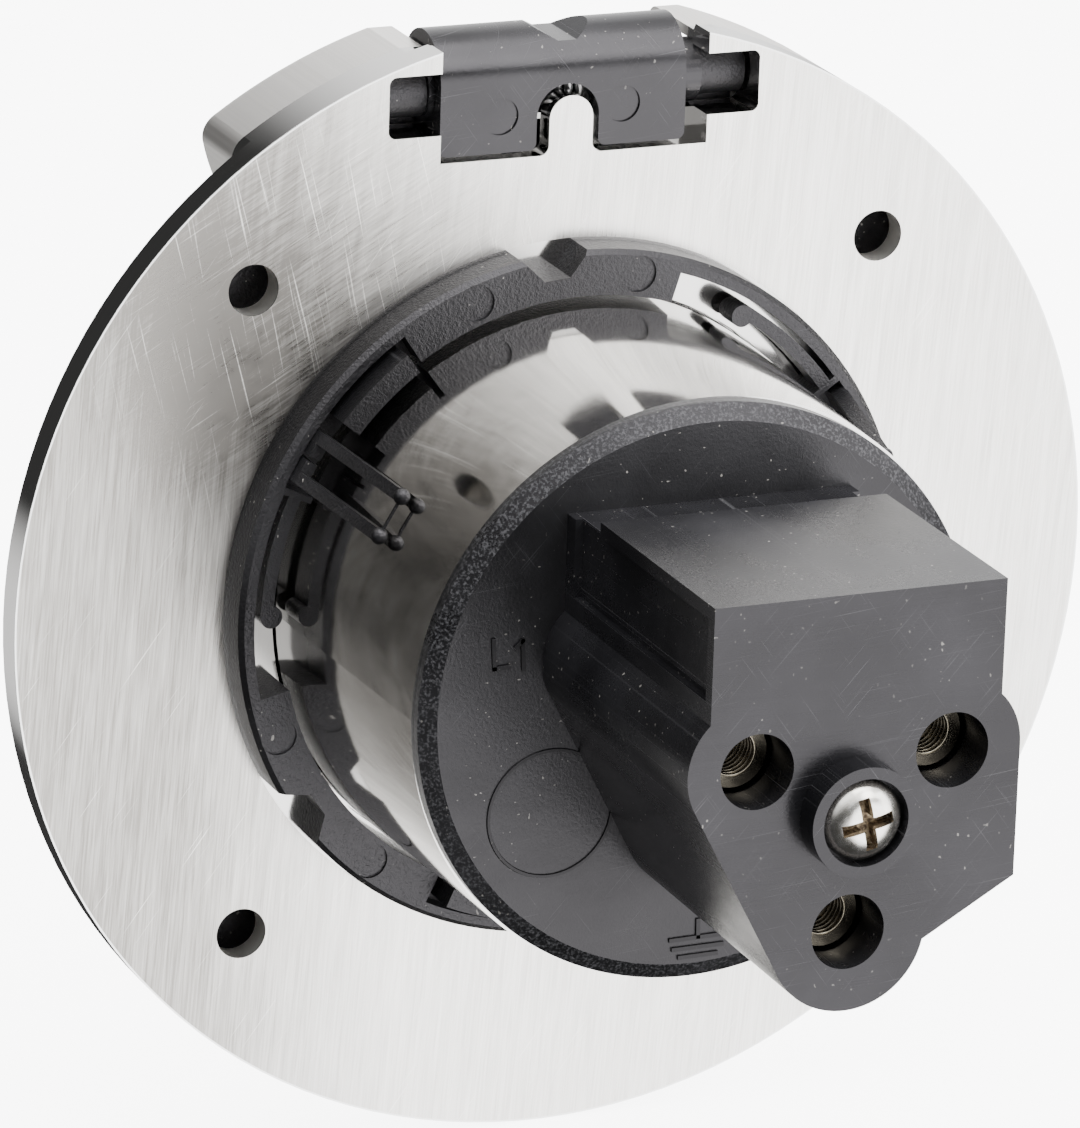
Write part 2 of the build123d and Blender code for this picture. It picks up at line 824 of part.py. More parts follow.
def contact_pin(name):
    """Turned contact pin with a round tip, a collar and a bored wire terminal."""
    radius = contact_radius(name)
    tip = contact_tip - shroud_front + (0 if name == "earth" else power_contact_setback)
    collar = carrier_front + carrier_thickness
    neck = collar + contact_collar_length
    pin = turned([
        (0, tip),
        (radius * contact_nose_radius_share, tip),
        (radius, tip + radius * contact_nose_length_share),
        (radius, collar),
        (contact_collar_radius, collar),
        (contact_collar_radius, neck),
        (terminal_radius, neck),
        (terminal_radius, terminal_end),
        (terminal_wire_diameter / 2, terminal_end),
        (terminal_wire_diameter / 2, terminal_end - terminal_wire_depth),
        (0, terminal_end - terminal_wire_depth - terminal_drill_point),
    ])
    u, v = terminal_places[name]
    pin = Pos(-u, 0, v) * pin
    return pin - clamp_screw_body(name, clamp_screw_diameter / 2 + hole_gap, 0)


def clamp_screw_body(name, radius, slot_depth):
    """Round body across a terminal's wall, pointing away from the inlet's axis."""
    u, v = terminal_places[name]
    out = Vector(-u, 0, v).normalized()
    depth = terminal_end - clamp_screw_place
    inner = terminal_wire_diameter / 2 - clamp_screw_reach
    foot = Vector(-u, depth, v) + out * inner
    seat = Plane(origin=foot, x_dir=(0, 1, 0), z_dir=out)
    body = extrude(seat * Circle(radius), clamp_screw_length)
    if slot_depth > 0:
        slot = Box(2 * radius + 1, clamp_slot_width, 2 * slot_depth)
        body -= seat * Pos(0, 0, clamp_screw_length) * slot
    return body


def clamp_screw(name):
    """Slotted screw that clamps the wire in one terminal."""
    return clamp_screw_body(name, clamp_screw_diameter / 2, clamp_slot_depth)


# Rear cap, sealing ring, terminal cover and its screw

def rear_cap():
    """Cap that closes the tube, with a bevelled rim, a skirt and a ring groove."""
    start = carrier_front + carrier_thickness
    skirt = tube_rear_radius - tube_wall - cap_skirt_gap
    groove = start + cap_ring_groove_start
    groove_end = groove + cap_ring_groove_width
    groove_floor = skirt - cap_ring_groove_depth
    inner = skirt - cap_skirt_wall
    cap = turned([
        (0, tube_length),
        (inner, tube_length),
        (inner, start),
        (skirt, start),
        (skirt, groove),
        (groove_floor, groove),
        (groove_floor, groove_end),
        (skirt, groove_end),
        (skirt, tube_length),
        (cap_radius, tube_length),
        (cap_radius, cap_face - cap_bevel_height),
        (cap_radius - cap_bevel_width, cap_face),
        (0, cap_face),
    ])
    cap -= raise_up(Circle(post_radius + hole_gap), tube_length - 1, cap_face + 1)
    for place in terminal_places.values():
        hole = circle_at(place, terminal_radius + hole_gap)
        cap -= raise_up(hole, tube_length - 1, cap_face + 1)
    return cap


def cap_ring():
    """Rubber sealing ring in the cap's groove."""
    start = carrier_front + carrier_thickness + cap_ring_groove_start
    skirt = tube_rear_radius - tube_wall - cap_skirt_gap
    inner = skirt - cap_ring_groove_depth
    outer = skirt + cap_ring_bulge
    end = start + cap_ring_groove_width
    slope = cap_ring_side_slope
    return turned([(inner, start), (outer, start + slope), (outer, end - slope), (inner, end)])


def cover_outline():
    """Outline of the terminal cover: square shoulders, two lobes and an earth lobe."""
    line = terminal_places["line"]
    neutral = terminal_places["neutral"]
    earth = terminal_places["earth"]
    upper, lower = outer_tangent(line, lobe_radius, earth, earth_lobe_radius)
    if upper[0] > line[0]:
        upper, lower = outer_tangent(earth, earth_lobe_radius, line, lobe_radius)[::-1]
    body = make_face(Polyline(
        (-cover_half_width, cover_top),
        (cover_half_width, cover_top),
        (cover_half_width, neutral[1]),
        (corner_side, neutral[1]),
        (corner_side, corner_bottom),
        corner_inset,
        earth,
        lower,
        upper,
        line,
        (-cover_half_width, line[1]),
        close=True,
    ))
    body += circle_at(line, lobe_radius) + circle_at(neutral, lobe_radius)
    return body + circle_at(earth, earth_lobe_radius)


def cover_hollows():
    """Space for the terminals, the post, the wires and the screw's head."""
    cut = raise_up(Circle(post_radius + hole_gap), cap_face - 1, post_end + post_end_gap)
    for place in terminal_places.values():
        cavity = circle_at(place, terminal_radius + terminal_cavity_gap)
        cut += raise_up(cavity, cap_face - 1, cover_end - wire_hole_length)
        wire_hole = circle_at(place, wire_hole_diameter / 2)
        cut += raise_up(wire_hole, cap_face, cover_end + 1)
    well_floor = cover_end + screw_boss_height - screw_well_depth
    cut += raise_up(Circle(screw_well_radius), well_floor, cover_end + screw_boss_height + 1)
    screw_hole_radius = cover_screw_diameter / 2 + hole_gap
    return cut + raise_up(Circle(screw_hole_radius), cap_face, well_floor + 1)


def cover_panel(side):
    """Shallow panel in one flat side of the cover, inside a narrow frame."""
    top = cover_top - panel_margin
    inner = side * (cover_half_width - panel_depth)
    first, last = sorted((inner, side * (cover_half_width + 1)))
    panel = rectangle(first, last, panel_bottom, top)
    return raise_up(panel, cap_face + cover_step_depth / 4, cover_end - panel_margin)


def terminal_cover():
    """Moulded terminal cover held on the cap by one screw in a raised boss."""
    cover = raise_up(cover_outline(), cap_face, cover_end)
    step_top = cover_top - cover_step_height
    step = rectangle(-corner_side, corner_side, step_top, cover_top + 1)
    cover -= raise_up(step, cap_face - 1, cap_face + cover_step_depth)
    step_end = cap_face + cover_step_depth
    half_tab = snap_tab_width / 2
    for place in (-snap_tab_place, snap_tab_place):
        tab_top = cover_top - snap_tab_setback
        tab = rectangle(place - half_tab, place + half_tab, step_top - 1, tab_top)
        cover += raise_up(tab, step_end - snap_tab_length, step_end)
    cover -= cover_panel(-1) + cover_panel(1)
    cover += raise_up(Circle(screw_boss_radius), cover_end - 1, cover_end + screw_boss_height)
    return cover - cover_hollows()


def cover_screw():
    """Pan-head screw with a cross recess, in the cover's boss."""
    seat = cover_end + screw_boss_height - screw_well_depth
    head_top = seat + cover_screw_head_height
    radius = cover_screw_head_radius
    side_top = (radius, seat + cover_screw_head_side)
    radius_share, drop = cover_screw_shoulder
    profile = [
        Line((0, seat), (radius, seat)),
        Line((radius, seat), side_top),
        ThreePointArc(side_top, (radius * radius_share, head_top - drop), (0, head_top)),
        Line((0, head_top), (0, seat)),
    ]
    screw = revolve(make_face(profile), Axis.Y)
    screw += raise_up(Circle(cover_screw_diameter / 2), cover_end - cover_screw_length, seat)
    cross = rectangle(-cross_reach / 2, cross_reach / 2, -cross_width / 2, cross_width / 2)
    cross += rectangle(-cross_width / 2, cross_width / 2, -cross_reach / 2, cross_reach / 2)
    return screw - raise_up(Rot(0, 0, cross_turn) * cross, head_top - cross_depth, head_top + 1)


def all_pieces():
    """Every piece of the inlet by the name of its file."""
    pieces = {
        "flange_plate": flange_plate(),
        "inlet_tube": inlet_tube(),
        "lip_gasket": lip_gasket(),
        "locking_ring": locking_ring(),
        "hinge_block": hinge_block(),
        "hinge_pin": hinge_pin(),
        "lid_spring": lid_spring(),
        "lid_shell": lid_shell(),
        "lid_liner": lid_liner(),
        "lid_seal": lid_seal(),
        "plug_shroud": plug_shroud(),
        "contact_carrier": contact_carrier(),
        "rear_cap": rear_cap(),
        "cap_ring": cap_ring(),
        "terminal_cover": terminal_cover(),
        "cover_screw": cover_screw(),
    }
    for number, place in enumerate(lid_screw_places(), start=1):
        pieces[f"lid_screw_{number}"] = lid_screw(place)
    for name in terminal_places:
        pieces[f"contact_{name}"] = contact_pin(name)
        pieces[f"clamp_screw_{name}"] = clamp_screw(name)
    return pieces


os.makedirs("parts", exist_ok=True)
for node, solid in all_pieces().items():
    export_step(solid, f"parts/{node}.step")
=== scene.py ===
import logging
import math
from dataclasses import dataclass, field
from enum import Enum
from functools import partial
from typing import Any, Callable, Sequence

import bmesh
import bpy
from mathutils import Euler, Matrix, Vector


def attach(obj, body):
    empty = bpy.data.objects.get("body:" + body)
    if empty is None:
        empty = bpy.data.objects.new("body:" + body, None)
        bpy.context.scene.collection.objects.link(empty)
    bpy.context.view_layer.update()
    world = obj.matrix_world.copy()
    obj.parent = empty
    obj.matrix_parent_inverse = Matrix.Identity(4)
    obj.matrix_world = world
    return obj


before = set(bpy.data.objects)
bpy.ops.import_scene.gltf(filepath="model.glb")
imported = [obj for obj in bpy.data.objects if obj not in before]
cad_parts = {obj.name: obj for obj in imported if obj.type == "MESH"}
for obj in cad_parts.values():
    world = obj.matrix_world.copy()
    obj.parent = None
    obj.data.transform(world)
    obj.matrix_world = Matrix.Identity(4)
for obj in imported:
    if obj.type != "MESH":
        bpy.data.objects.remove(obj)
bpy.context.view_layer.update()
LOG = logging.getLogger("shore_inlet")
MM = 0.001
Tint = tuple[float, float, float, float]
WHITE: Tint = (1.0, 1.0, 1.0, 1.0)


class Slot(Enum):
    """Material slots of the record, passed along with the scene's own pieces; Bench.add does not use
    them.
    """

    NYLON = "black_nylon"
    GLOSS_NYLON = "gloss_black_nylon"
    BRASS = "contact_brass"


class Sock:
    """A node's output that can be used in sums, products and comparisons."""

    def __init__(self, graph: "Graph", socket: bpy.types.NodeSocket) -> None:
        """Keeps the graph that holds the socket."""
        self.graph = graph
        self.socket = socket

    def _math(self, operation: str, *values: Any) -> "Sock":
        """Adds one Math node on the given values."""
        return self.graph.node("ShaderNodeMath", {"operation": operation}, dict(enumerate(values)))

    def __add__(self, other: Any) -> "Sock":
        """Sum."""
        return self._math("ADD", self, other)

    def __radd__(self, other: Any) -> "Sock":
        """Sum with the socket on the right."""
        return self._math("ADD", other, self)

    def __sub__(self, other: Any) -> "Sock":
        """Difference."""
        return self._math("SUBTRACT", self, other)

    def __rsub__(self, other: Any) -> "Sock":
        """Difference with the socket on the right."""
        return self._math("SUBTRACT", other, self)

    def __mul__(self, other: Any) -> "Sock":
        """Product."""
        return self._math("MULTIPLY", self, other)

    def __rmul__(self, other: Any) -> "Sock":
        """Product with the socket on the right."""
        return self._math("MULTIPLY", other, self)

    def __pow__(self, other: Any) -> "Sock":
        """Power."""
        return self._math("POWER", self, other)

    def above(self, limit: float) -> "Sock":
        """One where the value is above a limit, else nothing."""
        return self._math("GREATER_THAN", self, limit)

    def below(self, limit: float) -> "Sock":
        """One where the value is below a limit, else nothing."""
        return self._math("LESS_THAN", self, limit)

    def absolute(self) -> "Sock":
        """Value without its sign."""
        return self._math("ABSOLUTE", self)

    def dot(self, direction: Sequence[float]) -> "Sock":
        """Scalar product of this vector with a fixed direction."""
        values = {0: self, 1: tuple(Vector(direction).normalized())}
        return self.graph.node("ShaderNodeVectorMath", {"operation": "DOT_PRODUCT"}, values, "Value")

    def swing(self, weight: float) -> "Sock":
        """Change of a noise around its middle, with a weight."""
        return (self - 0.5) * weight

    def ramp(self, start: float, end: float, low: float = 0.0, high: float = 1.0) -> "Sock":
        """Smooth change between two values as this one goes from start to end.

        Args:
            start: Value of this socket where the change starts.
            end: Value of this socket where the change ends.
            low: Result before the start.
            high: Result after the end.

        Returns:
            The changed value.
        """
        return self.graph.node(
            "ShaderNodeMapRange",
            {"interpolation_type": "SMOOTHSTEP", "clamp": True},
            {"Value": self, "From Min": start, "From Max": end, "To Min": low, "To Max": high},
        )


class Graph:
    """Nodes of one material, world or geometry tree, with short ways to add them."""

    def __init__(self, tree: bpy.types.NodeTree) -> None:
        """Clears the tree that the nodes go into."""
        self.tree = tree
        self.tree.nodes.clear()

    def node(
        self,
        kind: str,
        settings: dict[str, Any] | None = None,
        inputs: dict[Any, Any] | None = None,
        output: int | str = 0,
    ) -> Sock:
        """Adds one node.

        Args:
            kind: Blender's type name of the node.
            settings: Properties set before its sockets.
            inputs: Values or links of its sockets, by name or number.
            output: Output that is returned.

        Returns:
            The wrapped output.
        """
        made = self.tree.nodes.new(kind)
        for name, value in (settings or {}).items():
            setattr(made, name, value)
        for name, value in (inputs or {}).items():
            target = made.inputs[name]
            if isinstance(value, Sock):
                self.tree.links.new(value.socket, target)
            else:
                target.default_value = value
        if not made.outputs:
            return Sock(self, None)
        return Sock(self, made.outputs[output])

    def place(self) -> Sock:
        """Object coordinates in metres."""
        return self.node("ShaderNodeTexCoord", output="Object")

    def link(self, target: Sock, links: dict[str, Sock]) -> None:
        """Links sockets of the node that an output belongs to, by name."""
        for name, value in links.items():
            self.tree.links.new(value.socket, target.socket.node.inputs[name])

    def parts(self, vector: Sock) -> tuple[Sock, ...]:
        """The three numbers of a vector."""
        split = self.node("ShaderNodeSeparateXYZ", {}, {0: vector})
        return tuple(Sock(self, output) for output in split.socket.node.outputs)

    def mapped(
        self,
        vector: Sock,
        scale: Sequence[float],
        turn: Sequence[float] = (0.0, 0.0, 0.0),
        shift: Sequence[float] = (0.0, 0.0, 0.0),
    ) -> Sock:
        """Coordinates moved, turned and stretched for a pattern."""
        return self.node(
            "ShaderNodeMapping",
            {"vector_type": "POINT"},
            {"Vector": vector, "Location": shift, "Rotation": turn, "Scale": scale},
        )

    def noise(self, vector: Sock, scale: float, detail: float = 3.0, rough: float = 0.55) -> Sock:
        """Cloudy noise between zero and one."""
        return self.node(
            "ShaderNodeTexNoise",
            {"noise_dimensions": "3D"},
            {"Vector": vector, "Scale": scale, "Detail": detail, "Roughness": rough},
        )

    def mix_colour(self, share: Any, first: Any, second: Any) -> Sock:
        """Blend of two colours."""
        return self.node(
            "ShaderNodeMix",
            {"data_type": "RGBA", "blend_type": "MIX"},
            {0: share, 6: first, 7: second},
            output=2,
        )

    def bump(self, height: Sock, distance: float, strength: float, under: Sock | None = None) -> Sock:
        """Normal of a fine relief, over the mesh's own normal or another one."""
        inputs: dict[Any, Any] = {"Height": height, "Distance": distance, "Strength": strength}
        if under is not None:
            inputs["Normal"] = under
        return self.node("ShaderNodeBump", {}, inputs)


def apart(across: Sock, up: Sock) -> Sock:
    """Distance of a point that lies this far across and this far up."""
    return (across * across + up * up) ** 0.5


@dataclass(frozen=True)
class Strokes:
    """Dense straight lines on a face across the inlet's axis.

    The angle is in degrees in the face. The width and length of one line are in metres, and shift
    makes two sets differ.
    """

    angle: float
    width: float
    length: float
    shift: float = 0.0

    def drawn_out(self, graph: Graph, place: Sock) -> Sock:
        """Coordinates turned to the lines and stretched along them."""
        turn = (0.0, math.radians(self.angle), 0.0)
        turned = graph.mapped(place, (1, 1, 1), turn, (self.shift, 0.0, self.shift * 0.7))
        return graph.mapped(turned, (1 / self.width, 1.0, 1 / self.length))

    def lines(self, graph: Graph, place: Sock) -> Sock:
        """The lines as a soft change of tone.

        Args:
            graph: Graph that the nodes go into.
            place: Object coordinates.

        Returns:
            A value between zero and one.
        """
        return graph.noise(self.drawn_out(graph, place), 1.0, 3.0, 0.65)


@dataclass(frozen=True)
class Scratches(Strokes):
    """Sparse straight scratches; share is the part of the noise's range that shows as scratches."""

    share: float = 0.33

    def lines(self, graph: Graph, place: Sock) -> Sock:
        """One in a scratch, else nothing."""
        spread = graph.noise(self.drawn_out(graph, place), 1.0, 1.0, 0.4)
        return spread.ramp(1 - self.share, 1 - self.share * 0.6)


@dataclass(frozen=True)
class Finish:
    """A finish with one base colour; each kind adds its own detail."""

    name: str
    colour: tuple[float, float, float]
    metallic: float = 0.0
    roughness: float = 0.4
    specular: float = 0.5

    def build(self) -> bpy.types.Material:
        """Makes the material.

        Returns:
            The material with its nodes.
        """
        material = bpy.data.materials.new(self.name)
        material.use_nodes = True
        graph = Graph(material.node_tree)
        shader = graph.node("ShaderNodeBsdfPrincipled", {}, self.constants())
        graph.link(shader, self.detail(graph))
        graph.node("ShaderNodeOutputMaterial", {}, {"Surface": shader})
        return material

    def constants(self) -> dict[str, Any]:
        """Values that are the same all over the surface, by the shader's socket."""
        return {
            "Base Color": (*self.colour, 1.0),
            "Metallic": self.metallic,
            "Roughness": self.roughness,
            "Specular IOR Level": self.specular,
        }

    def detail(self, graph: Graph) -> dict[str, Sock]:
        """Links that vary over the surface, by the shader's socket."""
        return {}


@dataclass(frozen=True)
class PlateTone:
    """How much each kind of mark changes the plate's tone, from a level without marks. Left and the
    mottle darken it as painted shade, and ground darkens it partly as painted shade.
    """

    level: float = 0.80
    grain: float = 0.95
    broad: float = 0.5
    cloud: float = 0.35
    # painted shade: the tone darkens towards the left
    left: float = 0.66
    # painted shade, mottled, in the shaded patch
    painted_shade_mottle: float = 0.1
    # the ground patch is darker, partly from its grinding, partly as painted shade of the upper left
    ground: float = 0.33
    scratch: float = 1.2


@dataclass(frozen=True)
class BrushedPlate(Finish):
    """Brushed and handled stainless steel with a polished rim.

    All lengths are in metres. The centres of the ground patch and of the patch of painted shade are
    places
    on the face as seen from behind: right, then up. Each reach gives where a patch starts to fade and
    where it ends; the left reach does so for the painted shade towards the left.
    """

    share: PlateTone = PlateTone()
    brush: Strokes = Strokes(4.0, 0.22 * MM, 9.0 * MM)
    broad: Strokes = Strokes(6.0, 1.4 * MM, 26.0 * MM)
    grind: Strokes = Strokes(60.0, 0.24 * MM, 5.0 * MM)
    steep: Scratches = Scratches(-12.0, 0.3 * MM, 14.0 * MM, 0.0, 0.35)
    steeper: Scratches = Scratches(-15.0, 0.22 * MM, 18.0 * MM, 0.4, 0.34)
    flat: Scratches = Scratches(60.0, 0.17 * MM, 9.0 * MM, 0.9, 0.35)
    sparse: Scratches = Scratches(36.0, 0.15 * MM, 12.0 * MM, 0.65, 0.31)
    cloud_scale: float = 60.0
    mottle_scale: float = 230.0
    ground_centre: tuple[float, float] = (-27.0 * MM, 33.0 * MM)
    ground_reach: tuple[float, float] = (8 * MM, 30 * MM)
    # centre and reach of the patch of mottled painted shade
    shade_centre: tuple[float, float] = (-29.0 * MM, 23.0 * MM)
    shade_reach: tuple[float, float] = (3 * MM, 19 * MM)
    # where the painted shade towards the left starts and ends
    left_shade_reach: tuple[float, float] = (12 * MM, 46 * MM)
    rim_depth: float = -0.12 * MM
    rim_blend: float = 0.1 * MM
    rim_roughness: float = 0.08
    edge_radius: float = 58.25 * MM
    edge_blend: float = 0.12 * MM
    hole_place: float = 33.94 * MM
    hole_reach: float = 5.6 * MM
    bore_roughness: float = 0.34
    front_depth: float = -5.4 * MM
    front_roughness: float = 0.34
    relief: float = 0.014 * MM
    dome_radius: float = 258.1 * MM
    dome_reach: float = 5.3 * MM
    dome_depth: float = -16.4 * MM
    dark: Tint = (0.24, 0.228, 0.212, 1.0)
    pale: Tint = (0.96, 0.94, 0.905, 1.0)
    edge_tint: Tint = (0.95, 0.95, 0.94, 1.0)
    rim_tint: Tint = (0.66, 0.65, 0.635, 1.0)
    # pale painted highlight on the screw holes' walls
    bore_highlight_tint: Tint = (0.96, 0.94, 0.9, 1.0)
    satin_dark: Tint = (0.87, 0.845, 0.81, 1.0)
    satin_pale: Tint = (0.98, 0.955, 0.92, 1.0)

    def distance(self, x: Sock, z: Sock, place: tuple[float, float]) -> Sock:
        """Distance on the face from a place."""
        return apart(x + place[0], z - place[1])

    def near_hole(self, x: Sock, z: Sock) -> Sock:
        """One close to a screw hole's axis, else nothing."""
        across, up = x.absolute() - self.hole_place, z.absolute() - self.hole_place
        return apart(across, up).below(self.hole_reach)

    def base_normal(self, graph: Graph, x: Sock, y: Sock, z: Sock, radius: Sock) -> Sock:
        """The mesh's own normal, and the lid's true dome shape at its middle.

        The loaded mesh has one wrong normal where all the dome's faces meet.
        """
        slope = 1 / self.dome_radius
        dome = graph.node("ShaderNodeCombineXYZ", {}, {"X": x * slope, "Y": -1.0, "Z": z * slope})
        kinds = {"vector_type": "NORMAL", "convert_from": "OBJECT", "convert_to": "WORLD"}
        turned = graph.node("ShaderNodeVectorTransform", kinds, {"Vector": dome})
        middle = radius.below(self.dome_reach) * y.below(self.dome_depth)
        return graph.mix_colour(middle, graph.node("ShaderNodeNewGeometry", output="Normal"), turned)

    def detail(self, graph: Graph) -> dict[str, Sock]:
        """Brushing, grinding strokes, scratches, cloudy wear, the polished rim and the satin front, with
        painted shade towards the left and in a mottled patch, and a pale painted highlight on the screw
        holes' walls.
        """
        place = graph.place()
        x, y, z = graph.parts(place)
        radius = apart(x, z)
        rim = y.ramp(self.rim_depth, self.rim_depth - self.rim_blend)
        edge = radius.ramp(self.edge_radius, self.edge_radius + self.edge_blend)
        front = y.below(self.front_depth)
        bore = rim * self.near_hole(x, z) * (1 - front)
        ground = self.distance(x, z, self.ground_centre).ramp(*self.ground_reach, 1.0, 0.0)
        shaded = self.distance(x, z, self.shade_centre).ramp(*self.shade_reach, 1.0, 0.0)
        cloud = graph.noise(place, self.cloud_scale)
        # mottled painted shade in the shaded patch; it also roughens the surface there
        painted_shade_mottle = shaded * graph.noise(place, self.mottle_scale, 4.0, 0.62).ramp(0.38, 0.62)
        brush, broad, grind, steep, steeper, flat, sparse = (
            marks.lines(graph, place) for marks in (self.brush, self.broad, self.grind, self.steep,
                                                    self.steeper, self.flat, self.sparse)
        )
        grain = brush * (1 - ground) + grind * ground
        scratches = (steep + steeper + flat * 0.5) * ground * 0.8 + sparse * 0.4
        share = self.share
        # Painted shade darkens the tone towards the left and in the mottled patch; the ground patch is
        # darker partly from its grinding, partly as painted shade.
        tone = (
            share.level + grain.swing(share.grain) + broad.swing(share.broad) + cloud.swing(share.cloud)
            - x.ramp(*self.left_shade_reach) * share.left - painted_shade_mottle * share.painted_shade_mottle - ground * share.ground
            + scratches * share.scratch
        )
        bare = graph.mix_colour(edge, graph.mix_colour(tone, self.dark, self.pale), self.edge_tint)
        # the screw holes' walls get a pale painted highlight
        polished = graph.mix_colour(rim, bare, graph.mix_colour(bore, self.rim_tint, self.bore_highlight_tint))
        satin = graph.mix_colour(grain.ramp(0.3, 0.7), self.satin_dark, self.satin_pale)
        face_rough = self.roughness + cloud.swing(0.16) + grain.swing(0.2) + painted_shade_mottle * 0.12
        rim_rough = rim * (self.rim_roughness + cloud.swing(0.06))
        front_rough = front * (self.front_roughness + grain.swing(0.12))
        rough = face_rough * (1 - rim) + rim_rough + bore * self.bore_roughness + front_rough
        relief = grain * (0.7 * (1 - rim) + front * 0.5)
        normal = graph.bump(relief, self.relief, 0.5, self.base_normal(graph, x, y, z, radius))
        colour = graph.mix_colour(front, polished, satin)
        return {"Base Color": colour, "Roughness": rough, "Normal": normal}


@dataclass(frozen=True)
class PolishedSteel(Finish):
    """Mirror-polished steel with faint smudges."""

    smudge: float = 0.08
    smudge_scale: float = 70.0
    line_scales: tuple[float, float, float] = (300.0, 5200.0, 300.0)
    relief: float = 0.002 * MM

    def detail(self, graph: Graph) -> dict[str, Sock]:
        """Soft smudges in the gloss and very fine polishing lines."""
        place = graph.place()
        cloud = graph.noise(place, self.smudge_scale, 4.0, 0.6)
        lines = graph.noise(graph.mapped(place, self.line_scales), 1.0, 3.0, 0.6)
        rough = cloud.ramp(0.42, 0.75, 0.0, self.smudge) + lines * 0.04 + self.roughness
        return {"Roughness": rough, "Normal": graph.bump(lines, self.relief, 0.4)}


@dataclass(frozen=True)
class MouldedPlastic(Finish):
    """Black moulded plastic: sparked grain, scuffs, dust specks, gloss changes and a painted highlight
    on an edge.

    All lengths are in metres. The flow streaks show above streak_level along the inlet's axis. Beyond
    the given radius the edge's grain gets a pale painted highlight; unless the radius is given, that
    lies outside the part.
    """

    grain_size: float = 0.25 * MM
    grain_depth: float = 0.02 * MM
    scuff: float = 0.25
    flow: float = 0.1
    dust: float = 0.5
    streak: float = 0.0
    streak_level: float = 69.0 * MM
    # radius beyond which the edge's grain gets a pale painted highlight
    painted_sheen_radius: float = 1.0
    cloud_scale: float = 60.0
    speck_scale: float = 2300.0
    smear_scales: tuple[float, float, float] = (70.0, 26.0, 150.0)
    smear_turn: tuple[float, float, float] = (0.0, 0.0, 0.5)
    streak_scales: tuple[float, float, float] = (130.0, 130.0, 5200.0)
    scuff_lines: tuple[Scratches, Scratches, Scratches] = (
        Scratches(42.0, 0.14 * MM, 9.0 * MM, 0.2, 0.33),
        Scratches(-36.0, 0.12 * MM, 7.0 * MM, 0.7, 0.32),
        Scratches(84.0, 0.12 * MM, 12.0 * MM, 0.5, 0.33),
    )
    gloss_tint: Tint = (0.99, 0.955, 1.0, 1.0)
    scuff_tint: Tint = (0.2, 0.2, 0.21, 1.0)
    # colour of the pale painted highlight on the edge's grain
    painted_sheen_tint: Tint = (0.075, 0.075, 0.08, 1.0)
    dust_tint: Tint = (0.45, 0.43, 0.40, 1.0)

    def constants(self) -> dict[str, Any]:
        """Adds the slightly violet gloss of the nylon."""
        return {**super().constants(), "Specular Tint": self.gloss_tint}

    def detail(self, graph: Graph) -> dict[str, Sock]:
        """Grain, dusty scuffs, specks, flow streaks, changes of gloss and a pale painted highlight on
        the edge's grain.
        """
        place = graph.place()
        x, y, z = graph.parts(place)
        grain = graph.noise(place, 1 / self.grain_size, 2.0, 0.6)
        cloud = graph.noise(place, self.cloud_scale, 4.0)
        smear = graph.noise(graph.mapped(place, self.smear_scales, self.smear_turn), 1.0, 3.0, 0.6)
        lines = graph.noise(graph.mapped(place, self.streak_scales), 1.0, 3.0, 0.6)
        streaks = (lines - 0.5) * y.above(self.streak_level)
        first, second, third = (marks.lines(graph, place) for marks in self.scuff_lines)
        scuffs = (first + second + third) * self.scuff
        specks = graph.noise(place, self.speck_scale, 0.0, 0.0).ramp(0.80, 0.84) * cloud.ramp(0.42, 0.6)
        # pale painted highlight on the grain of the edge beyond the radius
        painted_sheen = apart(x, z).above(self.painted_sheen_radius) * grain.ramp(0.45, 0.7)
        low = tuple(value * 0.7 for value in self.colour) + (1.0,)
        high = tuple(min(1.0, value * 1.7 + 0.004) for value in self.colour) + (1.0,)
        colour = graph.mix_colour(cloud.ramp(0.35, 0.7), low, high)
        dusty = specks * self.dust
        over = ((scuffs, self.scuff_tint), (painted_sheen, self.painted_sheen_tint), (dusty, self.dust_tint))
        for share, tint in over:
            colour = graph.mix_colour(share, colour, tint)
        rough = (
            self.roughness + cloud.swing(0.2) + smear.swing(self.flow)
            + grain.swing(0.08) + streaks * self.streak + scuffs * 0.2
        )
        relief = grain + streaks * self.streak * 2
        normal = graph.bump(relief, self.grain_depth, 0.8)
        return {"Base Color": colour, "Roughness": rough, "Normal": normal}


@dataclass(frozen=True)
class ScrewHead(Finish):
    """Bright screw steel, dull and brown in the recess of its head.

    The recess reaches as far as a radius around the inlet's axis, and from its floor up to its top.
    """

    recess_radius: float = 2.62 * MM
    recess_top: float = 73.95 * MM
    recess_floor: float = 72.7 * MM
    cloud_scale: float = 900.0
    wear_scale: float = 2600.0
    relief: float = 0.012 * MM
    steel_dark: Tint = (0.74, 0.71, 0.65, 1.0)
    steel_pale: Tint = (0.93, 0.91, 0.87, 1.0)
    dirt_dark: Tint = (0.07, 0.05, 0.035, 1.0)
    dirt_pale: Tint = (0.34, 0.27, 0.18, 1.0)

    def detail(self, graph: Graph) -> dict[str, Sock]:
        """Fine wear on the head and dirt in the recess."""
        place = graph.place()
        x, y, z = graph.parts(place)
        inside = (
            apart(x, z).below(self.recess_radius) * y.below(self.recess_top) * y.above(self.recess_floor)
        )
        cloud = graph.noise(place, self.cloud_scale, 4.0, 0.6)
        wear = graph.noise(place, self.wear_scale, 3.0, 0.6)
        bright = graph.mix_colour(cloud.ramp(0.3, 0.7), self.steel_dark, self.steel_pale)
        dirt = graph.mix_colour(wear.ramp(0.35, 0.65), self.dirt_dark, self.dirt_pale)
        rough = self.roughness + cloud.swing(0.2) + inside * 0.3
        return {"Base Color": graph.mix_colour(inside, bright, dirt), "Roughness": rough,
                "Normal": graph.bump(wear, self.relief, 0.6)}


